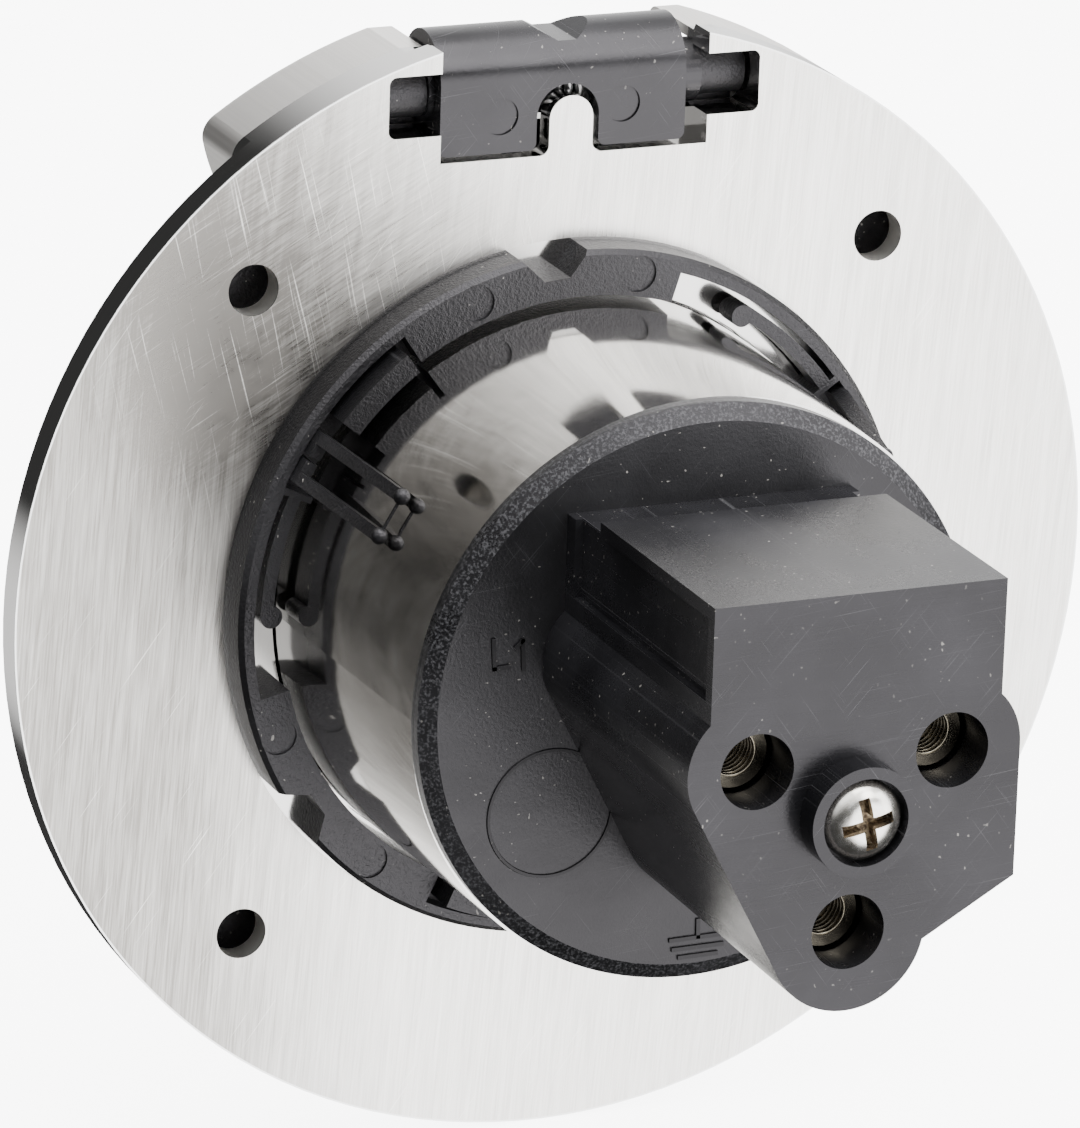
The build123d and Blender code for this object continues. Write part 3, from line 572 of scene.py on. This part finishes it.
@dataclass(frozen=True)
class TurnedMetal(Finish):
    """Small turned or drawn metal piece with fine tool lines."""

    line_size: float = 0.12 * MM
    cross_scale: float = 200.0
    cloud_scale: float = 300.0
    relief: float = 0.004 * MM

    def detail(self, graph: Graph) -> dict[str, Sock]:
        """Tool lines around the piece and slight tarnish."""
        place = graph.place()
        scales = (self.cross_scale, 1 / self.line_size, self.cross_scale)
        lines = graph.noise(graph.mapped(place, scales), 1.0, 2.0, 0.6)
        cloud = graph.noise(place, self.cloud_scale, 3.0, 0.6)
        dark = tuple(value * 0.5 for value in self.colour) + (1.0,)
        tint = graph.mix_colour(cloud.ramp(0.35, 0.7), dark, (*self.colour, 1.0))
        rough = cloud * 0.14 + lines * 0.08 + self.roughness - 0.08
        return {"Base Color": tint, "Roughness": rough, "Normal": graph.bump(lines, self.relief, 0.6)}


@dataclass(frozen=True)
class SmoothRubber(Finish):
    """Black rubber with a dry bloom."""

    bloom_scale: float = 240.0
    relief: float = 0.01 * MM
    dark: Tint = (0.018, 0.018, 0.019, 1.0)
    pale: Tint = (0.06, 0.06, 0.062, 1.0)

    def detail(self, graph: Graph) -> dict[str, Sock]:
        """Bloom and fine unevenness."""
        bloom = graph.noise(graph.place(), self.bloom_scale, 4.0, 0.65)
        tint = graph.mix_colour(bloom.ramp(0.4, 0.8), self.dark, self.pale)
        return {"Base Color": tint, "Roughness": bloom * 0.2 + self.roughness - 0.1,
                "Normal": graph.bump(bloom, self.relief, 0.5)}


@dataclass(frozen=True)
class PaleSheet(Finish):
    """Even pale paper of the floor, lit from within a little."""

    glow: float = 7.0
    dark: Tint = (0.86, 0.86, 0.86, 1.0)
    pale: Tint = (0.9, 0.9, 0.9, 1.0)

    def constants(self) -> dict[str, Any]:
        """Adds the paper's own light."""
        return {**super().constants(), "Emission Color": WHITE, "Emission Strength": self.glow}

    def detail(self, graph: Graph) -> dict[str, Sock]:
        """Very faint unevenness of the paper."""
        cloud = graph.noise(graph.place(), 3.0, 2.0, 0.5)
        return {"Base Color": graph.mix_colour(cloud, self.dark, self.pale)}


@dataclass(frozen=True)
class Palette:
    """All finishes of the inlet, made once."""

    plate: Finish = BrushedPlate("brushed_plate", (0.8, 0.79, 0.76), metallic=1.0, roughness=0.29)
    tube: Finish = PolishedSteel("polished_tube", (0.74, 0.73, 0.715), metallic=1.0, roughness=0.05)
    ring: Finish = MouldedPlastic(
        "ring_nylon", (0.010, 0.010, 0.011), roughness=0.37,
        grain_size=0.32 * MM, grain_depth=0.13 * MM, scuff=0.12, flow=0.08, dust=0.8,
    )
    cap: Finish = MouldedPlastic(
        "cap_nylon", (0.010, 0.010, 0.011), roughness=0.34, specular=0.38,
        grain_size=0.28 * MM, grain_depth=0.035 * MM, scuff=0.15, flow=0.2, dust=0.7,
        # the cap's bevel beyond this radius gets a pale painted highlight
        painted_sheen_radius=27.95 * MM,
    )
    cover: Finish = MouldedPlastic(
        "cover_nylon", (0.010, 0.010, 0.0115), roughness=0.26, specular=0.35,
        grain_size=0.32 * MM, grain_depth=0.016 * MM, scuff=0.3, flow=0.26, dust=0.7, streak=0.2,
    )
    hinge: Finish = MouldedPlastic(
        "hinge_nylon", (0.009, 0.009, 0.010), roughness=0.2, specular=0.46,
        grain_size=0.3 * MM, grain_depth=0.01 * MM, scuff=0.3, flow=0.3, dust=0.6,
    )
    # darker than the cap: painted shade of the grooves that the marks stand for
    mark: Finish = MouldedPlastic(
        "mark_nylon_painted_shade", (0.004, 0.004, 0.0045), roughness=0.34, specular=0.3,
        grain_size=0.3 * MM, grain_depth=0.01 * MM, scuff=0.0, flow=0.05, dust=0.2,
    )
    rubber: Finish = SmoothRubber("seal_rubber", (0.02, 0.02, 0.02), roughness=0.6)
    screw: Finish = PolishedSteel(
        "screw_steel", (0.86, 0.84, 0.80), metallic=1.0, roughness=0.16, smudge=0.16
    )
    head: Finish = ScrewHead("cover_screw_steel", (0.88, 0.86, 0.82), metallic=1.0, roughness=0.24)
    pin: Finish = TurnedMetal("pin_steel", (0.72, 0.71, 0.69), metallic=1.0, roughness=0.3)
    wire: Finish = TurnedMetal("spring_wire", (0.6, 0.6, 0.6), metallic=1.0, roughness=0.34)
    brass: Finish = TurnedMetal(
        "contact_brass", (0.44, 0.40, 0.32), metallic=1.0, roughness=0.18, line_size=0.3 * MM
    )


class Bench:
    """Materials by finish, and the few steps that every piece goes through."""

    def __init__(self, palette: Palette) -> None:
        """Keeps the finishes of the inlet."""
        self.palette = palette
        self._made: dict[str, bpy.types.Material] = {}

    def material(self, finish: Finish) -> bpy.types.Material:
        """Material of a finish, made the first time it is asked for."""
        if finish.name not in self._made:
            self._made[finish.name] = finish.build()
        return self._made[finish.name]

    def dress(self, finish: Finish, *nodes: str) -> None:
        """Gives carried-over CAD nodes a finish.

        Args:
            finish: Finish of the pieces.
            nodes: Names of the CAD nodes.
        """
        for name in nodes:
            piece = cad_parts[name]
            piece.data.materials.clear()
            piece.data.materials.append(self.material(finish))
            LOG.info("dressed %s in %s", name, finish.name)

    def add(self, name: str, mesh: bpy.types.Mesh, finish: Finish, slot: Slot, body: str) -> None:
        """Adds a piece of the scene to a body.

        Args:
            name: Name of the piece.
            mesh: Its mesh, already in place.
            finish: Its finish.
            slot: Material slot of the record; not used.
            body: Body that it rides on.
        """
        piece = bpy.data.objects.new(name, mesh)
        bpy.context.scene.collection.objects.link(piece)
        mesh.materials.clear()
        mesh.materials.append(self.material(finish))
        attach(piece, body)
        LOG.info("added %s with %d faces", name, len(mesh.polygons))


def mesh_from(build: Callable[[bmesh.types.BMesh], None], name: str) -> bpy.types.Mesh:
    """Mesh made by a bmesh step, with its faces turned outwards.

    Args:
        build: Step that fills the bmesh.
        name: Name of the mesh.

    Returns:
        The finished mesh.
    """
    work = bmesh.new()
    build(work)
    bmesh.ops.recalc_face_normals(work, faces=work.faces)
    mesh = bpy.data.meshes.new(name)
    work.to_mesh(mesh)
    work.free()
    return mesh


def turn_section(
    work: bmesh.types.BMesh,
    section: Sequence[tuple[float, float]],
    spot: Callable[[float, float, float], tuple[float, float, float]],
    steps: int,
) -> None:
    """Adds a closed section that is turned once around an axis.

    Args:
        work: Mesh that the faces go into.
        section: Corners of the section: distance from the axis, then place along it.
        spot: Gives a corner's place from these two numbers and the angle.
        steps: Number of sections around the axis.
    """
    rows = []
    for step in range(steps):
        angle = math.tau * step / steps
        rows.append([work.verts.new(spot(radius, along, angle)) for radius, along in section])
    for now, after in zip(rows, rows[1:] + rows[:1]):
        for i in range(len(section)):
            j = (i + 1) % len(section)
            work.faces.new((now[i], now[j], after[j], after[i]))


@dataclass
class RaisedMarks:
    """Thin raised moulding marks on the rear cap, darker as painted shade: bars between two points and a
    circle.

    Places are in millimetres as seen from behind: right, then up.
    """

    level: float = 36.0 * MM
    height: float = 0.22 * MM
    width: float = 0.42 * MM
    bars: tuple[tuple[float, float, float, float], ...] = (
        (-22.4, 8.0, -22.2, 5.1),
        (-22.2, 5.1, -20.7, 5.2),
        (-19.15, 4.8, -19.35, 7.7),
        (-19.35, 7.7, -20.0, 7.1),
        (0.35, -23.5, 0.4, -25.2),
        (-2.5, -25.3, 3.4, -25.2),
        (-2.2, -26.3, 3.0, -26.25),
        (-1.5, -27.2, 2.4, -27.15),
    )
    circle_centre: tuple[float, float] = (-15.85, -10.44)
    circle_radius: float = 6.5
    circle_steps: int = 96
    circle_section: tuple[tuple[float, float], ...] = (
        (-0.22, -0.05), (-0.14, 0.18), (0.14, 0.18), (0.22, -0.05),
    )

    def fill(self, work: bmesh.types.BMesh) -> None:
        """Adds every bar, given by its two ends, and the mould circle."""
        for u0, v0, u1, v1 in self.bars:
            along = Vector((-(u1 - u0), 0.0, v1 - v0)) * MM
            centre = Vector((-(u0 + u1) / 2 * MM, self.level, (v0 + v1) / 2 * MM))
            angle = math.atan2(along.x, along.z)
            size = Matrix.Diagonal((self.width, 2 * self.height, along.length + self.width, 1.0))
            turn = Matrix.Rotation(angle, 4, "Y")
            bmesh.ops.create_cube(work, size=1.0, matrix=Matrix.Translation(centre) @ turn @ size)
        turn_section(work, self.circle_section, self.circle_spot, self.circle_steps)

    def circle_spot(self, out: float, rise: float, angle: float) -> tuple[float, float, float]:
        """Place of a corner of the circle's section: how far out, how high and at which angle."""
        u, v = self.circle_centre
        radius = self.circle_radius + out
        x = -(u + radius * math.cos(angle)) * MM
        z = (v + radius * math.sin(angle)) * MM
        return x, self.level + rise * MM, z

    def build(self, bench: Bench) -> None:
        """Adds the marks to the cap."""
        mesh = mesh_from(self.fill, "cap_marks")
        # the marks take the darker finish, which is painted shade of grooves
        bench.add("cap_marks", mesh, bench.palette.mark, Slot.NYLON, "housing")


@dataclass
class Threads:
    """Rings of thread in the wire terminals, made with Geometry Nodes."""

    turns: int = 9
    pitch: float = 0.7 * MM
    radius: float = 2.28 * MM
    wire: float = 0.17 * MM
    mouth: float = 65.2 * MM
    ring_steps: int = 40
    wire_steps: int = 6
    places: dict[str, tuple[float, float]] = field(default_factory=lambda: {
        "line": (-10.05, 5.15),
        "neutral": (10.05, 5.15),
        "earth": (0.0, -11.95),
    })

    def tree(self, material: bpy.types.Material) -> bpy.types.NodeTree:
        """Builds the node tree with named inputs for the ring's sizes.

        Args:
            material: Material that the thread gets.

        Returns:
            The tree.
        """
        tree = bpy.data.node_groups.new("thread_rings", "GeometryNodeTree")
        face = tree.interface
        face.new_socket(name="Geometry", in_out="OUTPUT", socket_type="NodeSocketGeometry")
        face.new_socket(name="Turns", in_out="INPUT", socket_type="NodeSocketInt")
        for name in ("Pitch", "Radius", "Wire"):
            face.new_socket(name=name, in_out="INPUT", socket_type="NodeSocketFloat")
        graph = Graph(tree)
        turns, pitch, radius, wire = (
            graph.node("NodeGroupInput", output=name) for name in ("Turns", "Pitch", "Radius", "Wire")
        )
        step = graph.node("ShaderNodeCombineXYZ", {}, {"Y": pitch})
        row = graph.node("GeometryNodeMeshLine", {"mode": "OFFSET"}, {"Count": turns, "Offset": step})
        circle = "GeometryNodeCurvePrimitiveCircle"
        path = graph.node(circle, {}, {"Resolution": self.ring_steps, "Radius": radius})
        section = graph.node(circle, {}, {"Resolution": self.wire_steps, "Radius": wire})
        ring = graph.node("GeometryNodeCurveToMesh", {}, {"Curve": path, "Profile Curve": section})
        upright = {"Points": row, "Instance": ring, "Rotation": (math.pi / 2, 0.0, 0.0)}
        copies = graph.node("GeometryNodeInstanceOnPoints", {}, upright)
        real = graph.node("GeometryNodeRealizeInstances", {}, {0: copies})
        dressed = graph.node("GeometryNodeSetMaterial", {}, {"Geometry": real, "Material": material})
        graph.node("NodeGroupOutput", {}, {0: dressed})
        return tree

    def build(self, bench: Bench) -> None:
        """Adds the rings to each terminal."""
        tree = self.tree(bench.material(bench.palette.brass))
        sizes = {"Turns": self.turns, "Pitch": -self.pitch, "Radius": self.radius, "Wire": self.wire}
        for name, (u, v) in self.places.items():
            holder = bpy.data.objects.new("thread_source", bpy.data.meshes.new("thread_source"))
            bpy.context.scene.collection.objects.link(holder)
            modifier = holder.modifiers.new("thread", "NODES")
            modifier.node_group = tree
            for item in tree.interface.items_tree:
                if item.in_out == "INPUT" and item.name in sizes:
                    modifier[item.identifier] = sizes[item.name]
            mesh = realised(holder)
            mesh.transform(Matrix.Translation((-u * MM, self.mouth, v * MM)))
            bench.add(f"thread_{name}", mesh, bench.palette.brass, Slot.BRASS, "housing")


def realised(holder: bpy.types.Object) -> bpy.types.Mesh:
    """Plain mesh of an object's modifiers; the object itself is removed.

    Args:
        holder: Object that carries the modifiers.

    Returns:
        The evaluated mesh.
    """
    graph = bpy.context.evaluated_depsgraph_get()
    graph.update()
    mesh = bpy.data.meshes.new_from_object(holder.evaluated_get(graph))
    holder.modifiers.clear()
    bpy.data.objects.remove(holder)
    return mesh


@dataclass
class HingeTrim:
    """Skirt under the hinge block's barrel and the spacers on the hinge pin.

    Sides, depths, levels and the ends of the spacers are in millimetres, the sides as seen from behind.
    """

    pin_place: tuple[float, float] = (-5.6 * MM, 51.6 * MM)
    spacer_inner: float = 1.6 * MM
    spacer_outer: float = 3.2 * MM
    spacer_steps: int = 48
    spacers: tuple[tuple[float, float], ...] = ((-14.74, -14.2), (12.4, 14.74))
    skirt_edge: float = 0.12 * MM
    skirt_sides: tuple[float, float] = (-14.1, 14.2)
    skirt_depths: tuple[float, float] = (-8.5, -8.0)
    skirt_levels: tuple[float, float] = (42.6, 48.3)

    def skirt(self, work: bmesh.types.BMesh) -> None:
        """Adds the thin skirt with rounded edges."""
        (left, right), (front, back) = self.skirt_sides, self.skirt_depths
        low, high = self.skirt_levels
        size = Matrix.Diagonal(((right - left) * MM, (back - front) * MM, (high - low) * MM, 1.0))
        centre = Vector((-(left + right) / 2, (front + back) / 2, (low + high) / 2)) * MM
        bmesh.ops.create_cube(work, size=1.0, matrix=Matrix.Translation(centre) @ size)
        bmesh.ops.bevel(work, geom=work.edges[:], offset=self.skirt_edge, segments=2, affect="EDGES")

    def spacer(self, work: bmesh.types.BMesh, first: float, last: float) -> None:
        """Adds one spacer between two places along the pin."""
        section = [
            (self.spacer_inner, first), (self.spacer_outer, first),
            (self.spacer_outer, last), (self.spacer_inner, last),
        ]
        turn_section(work, section, self.pin_spot, self.spacer_steps)

    def pin_spot(self, radius: float, along: float, angle: float) -> tuple[float, float, float]:
        """Place at a distance from the pin's axis, somewhere along the pin."""
        depth, level = self.pin_place
        return -along * MM, depth + radius * math.cos(angle), level + radius * math.sin(angle)

    def build(self, bench: Bench) -> None:
        """Adds skirt and spacers."""
        finish = bench.palette.hinge
        skirt = mesh_from(self.skirt, "hinge_skirt")
        bench.add("hinge_skirt", skirt, finish, Slot.GLOSS_NYLON, "housing")
        for number, (first, last) in enumerate(self.spacers, start=1):
            name = f"hinge_spacer_{number}"
            mesh = mesh_from(partial(self.spacer, first=first, last=last), name)
            bench.add(name, mesh, finish, Slot.GLOSS_NYLON, "housing")


@dataclass
class Housing:
    """Everything that stays still: flange, tube, ring, hinge block, cap, cover and contacts."""

    marks: RaisedMarks = field(default_factory=RaisedMarks)
    threads: Threads = field(default_factory=Threads)
    trim: HingeTrim = field(default_factory=HingeTrim)

    def build(self, bench: Bench) -> None:
        """Dresses the CAD nodes and adds the small pieces."""
        finishes = bench.palette
        bench.dress(finishes.plate, "flange_plate")
        bench.dress(finishes.tube, "inlet_tube")
        bench.dress(finishes.rubber, "lip_gasket", "cap_ring")
        bench.dress(finishes.ring, "locking_ring")
        bench.dress(finishes.hinge, "hinge_block")
        bench.dress(finishes.wire, "lid_spring")
        bench.dress(finishes.cap, "rear_cap", "contact_carrier", "plug_shroud")
        bench.dress(finishes.cover, "terminal_cover")
        bench.dress(finishes.head, "cover_screw")
        bench.dress(finishes.screw, "clamp_screw_line", "clamp_screw_neutral", "clamp_screw_earth")
        bench.dress(finishes.brass, "contact_line", "contact_neutral", "contact_earth")
        self.marks.build(bench)
        self.threads.build(bench)
        self.trim.build(bench)


@dataclass
class Lid:
    """The hinged lid with its liner, seal, screws and pin."""

    def build(self, bench: Bench) -> None:
        """Dresses the lid's CAD nodes."""
        finishes = bench.palette
        bench.dress(finishes.plate, "lid_shell")
        bench.dress(finishes.ring, "lid_liner")
        bench.dress(finishes.rubber, "lid_seal")
        bench.dress(finishes.screw, "lid_screw_1", "lid_screw_2", "lid_screw_3")
        bench.dress(finishes.pin, "hinge_pin")


@dataclass(frozen=True)
class Panel:
    """A soft light: its place, what it faces, its sizes and its power."""

    name: str
    place: tuple[float, float, float]
    aim: tuple[float, float, float]
    size: tuple[float, float]
    power: float

    def build(self) -> None:
        """Adds the area light."""
        data = bpy.data.lights.new(self.name, "AREA")
        data.shape = "RECTANGLE"
        data.size, data.size_y = self.size
        data.energy = self.power
        light = bpy.data.objects.new(self.name, data)
        light.location = self.place
        away = Vector(self.place) - Vector(self.aim)
        light.rotation_euler = away.to_track_quat("Z", "Y").to_euler()
        bpy.context.scene.collection.objects.link(light)


@dataclass(frozen=True)
class Glow:
    """A soft bright area of the surroundings: its direction, edges and power."""

    direction: tuple[float, float, float]
    start: float
    end: float
    power: float

    def shine(self, graph: Graph, look: Sock) -> Sock:
        """Brightness of the area in the direction that is looked at."""
        return look.dot(self.direction).ramp(self.start, self.end, 0.0, self.power)


@dataclass
class Studio:
    """Pale floor, soft lights and the camera of the photograph."""

    camera_place: tuple[float, float, float] = (0.306885, 0.710372, 0.257550)
    camera_turn: tuple[float, float, float] = (1.251733, -0.029856, 2.746391)
    lens: float = 267.7045
    sensor: float = 36.0
    clip: tuple[float, float] = (0.01, 20.0)
    floor_level: float = -0.0586
    floor_half: float = 3.0
    base_light: float = 0.05
    seen_grey: float = 7.9
    floor: Finish = PaleSheet("pale_floor", (0.88, 0.88, 0.88), roughness=0.8, specular=0.2)
    glows: tuple[Glow, ...] = (
        Glow((-0.42, 0.84, -0.25), 0.80, 0.96, 4.6),
        Glow((0.0, 0.2, 1.0), 0.45, 0.9, 2.4),
        Glow((-0.38, 0.66, 0.58), 0.95, 0.99, 6.0),
        Glow((-0.5, -0.8, 0.3), 0.78, 0.95, 2.2),
        Glow((0.44, -0.83, -0.42), 0.955, 0.985, 1.3),
        Glow((0.8, 0.35, 0.5), 0.84, 0.97, 0.9),
        Glow((0.2, 0.9, -0.4), 0.95, 0.99, 1.1),
        Glow((0.35, 0.78, 0.52), 0.90, 0.985, 0.2),
    )
    panels: tuple[Panel, ...] = (
        Panel("overhead", (-0.1, 0.25, 0.9), (0.0, 0.02, 0.0), (0.7, 0.7), 7.0),
        Panel("right_side", (-0.75, 0.5, 0.2), (0.0, 0.0, 0.0), (0.4, 0.7), 4.0),
    )

    def build(self) -> None:
        """Adds floor, lights, world and camera."""
        self.sheet()
        for panel in self.panels:
            panel.build()
        self.world()
        self.camera()

    def sheet(self) -> None:
        """Adds the flat floor, which the camera sees and which casts and takes no light."""
        mesh = mesh_from(self.fill_sheet, "floor")
        floor = bpy.data.objects.new("floor", mesh)
        bpy.context.scene.collection.objects.link(floor)
        mesh.materials.append(self.floor.build())
        floor.visible_glossy = False
        floor.visible_diffuse = False
        floor.visible_shadow = False

    def fill_sheet(self, work: bmesh.types.BMesh) -> None:
        """Adds the floor's one square face, wide enough for every view."""
        half = self.floor_half
        corners = ((-half, -half), (half, -half), (half, half), (-half, half))
        work.faces.new([work.verts.new((x, y, self.floor_level)) for x, y in corners])

    def world(self) -> None:
        """Dim surroundings with soft bright areas, and plain pale where the camera sees them."""
        world = bpy.data.worlds.new("studio")
        world.use_nodes = True
        graph = Graph(world.node_tree)
        look = graph.node("ShaderNodeTexCoord", output="Generated")
        shine = self.base_light + sum(glow.shine(graph, look) for glow in self.glows)
        seen = graph.node("ShaderNodeLightPath", output="Is Camera Ray")
        strength = shine * (1 - seen) + seen * self.seen_grey
        light = graph.node("ShaderNodeBackground", {}, {"Color": WHITE, "Strength": strength})
        graph.node("ShaderNodeOutputWorld", {}, {"Surface": light})
        bpy.context.scene.world = world

    def camera(self) -> None:
        """Camera at the photograph's place and angle."""
        data = bpy.data.cameras.new("photo_camera")
        data.sensor_fit = "HORIZONTAL"
        data.sensor_width = self.sensor
        data.lens = self.lens
        data.clip_start, data.clip_end = self.clip
        camera = bpy.data.objects.new("photo_camera", data)
        camera.location = self.camera_place
        camera.rotation_euler = Euler(self.camera_turn, "XYZ")
        bpy.context.scene.collection.objects.link(camera)
        bpy.context.scene.camera = camera


def main() -> None:
    """Builds every sub-assembly and the studio in order."""
    logging.basicConfig(level=logging.INFO, format="%(name)s: %(message)s")
    bench = Bench(Palette())
    Housing().build(bench)
    Lid().build(bench)
    Studio().build()


if __name__ == "__main__":
    main()
